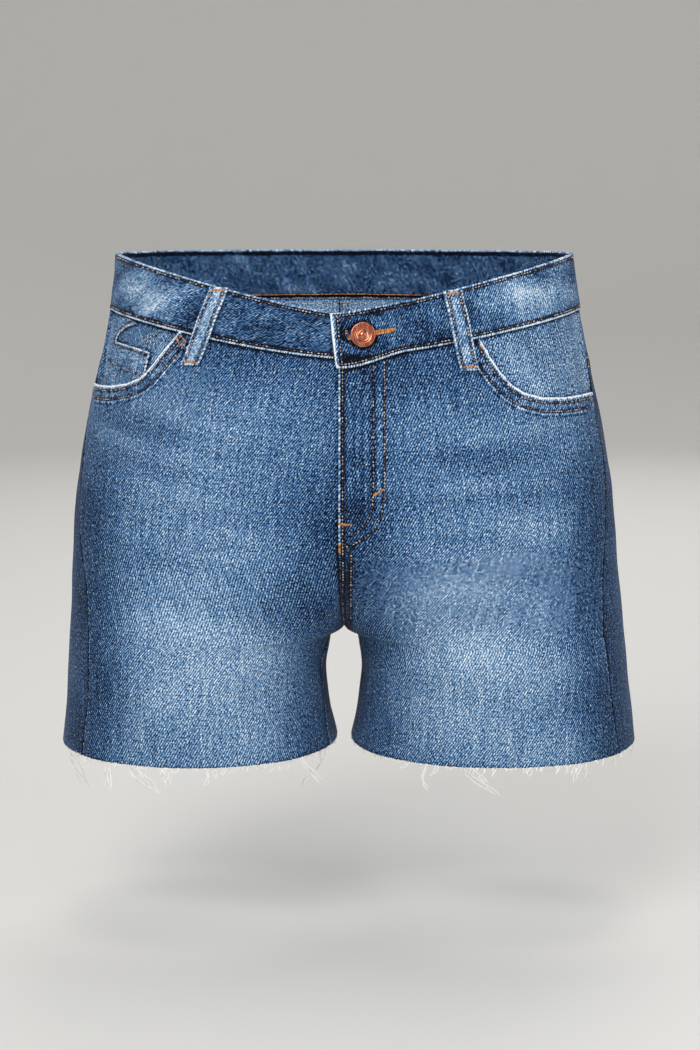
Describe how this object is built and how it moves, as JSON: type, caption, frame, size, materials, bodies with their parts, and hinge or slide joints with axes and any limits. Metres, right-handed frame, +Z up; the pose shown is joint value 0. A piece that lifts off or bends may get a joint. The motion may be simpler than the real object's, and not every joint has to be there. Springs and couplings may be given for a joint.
{
  "type": "denim shorts",
  "caption": "Filled-out denim cut-off shorts: hollow cloth walls open at the waist and legs, with raw fringed hems, patch and slant pockets, belt loops and a fly with a button.",
  "frame": {"origin": "middle of the waist opening, level with the middle of the waistband at the sides, where the wearer holds the garment up", "axes": "+Z up, -Y out of the front, +X towards the wearer's left"},
  "size_m": [0.4271, 0.2419, 0.3857],
  "materials": {
    "denim": "washed mid-blue twill, faded along the thighs, worn pale along edges and seams",
    "facing_denim": "the same twill with little wear, inside the front pockets",
    "copper": "polished copper-coloured plating, bare in the middle",
    "thread": "undyed cotton weft, loose and fuzzy"
  },
  "bodies": {
    "root": {"waistband": "denim", "front_left": "denim", "front_right": "denim", "back_left": "denim", "back_right": "denim", "yoke_left": "denim", "yoke_right": "denim", "pocket_facing_left": "facing_denim", "pocket_facing_right": "facing_denim", "coin_pocket": "facing_denim", "back_pocket_left": "denim", "back_pocket_right": "denim", "belt_loop_front_left": "denim", "belt_loop_front_right": "denim", "belt_loop_back_left": "denim", "belt_loop_back_right": "denim", "belt_loop_back_centre": "denim", "button": "copper", "fringe_left": "thread", "fringe_right": "thread"}
  },
  "joints": []
}
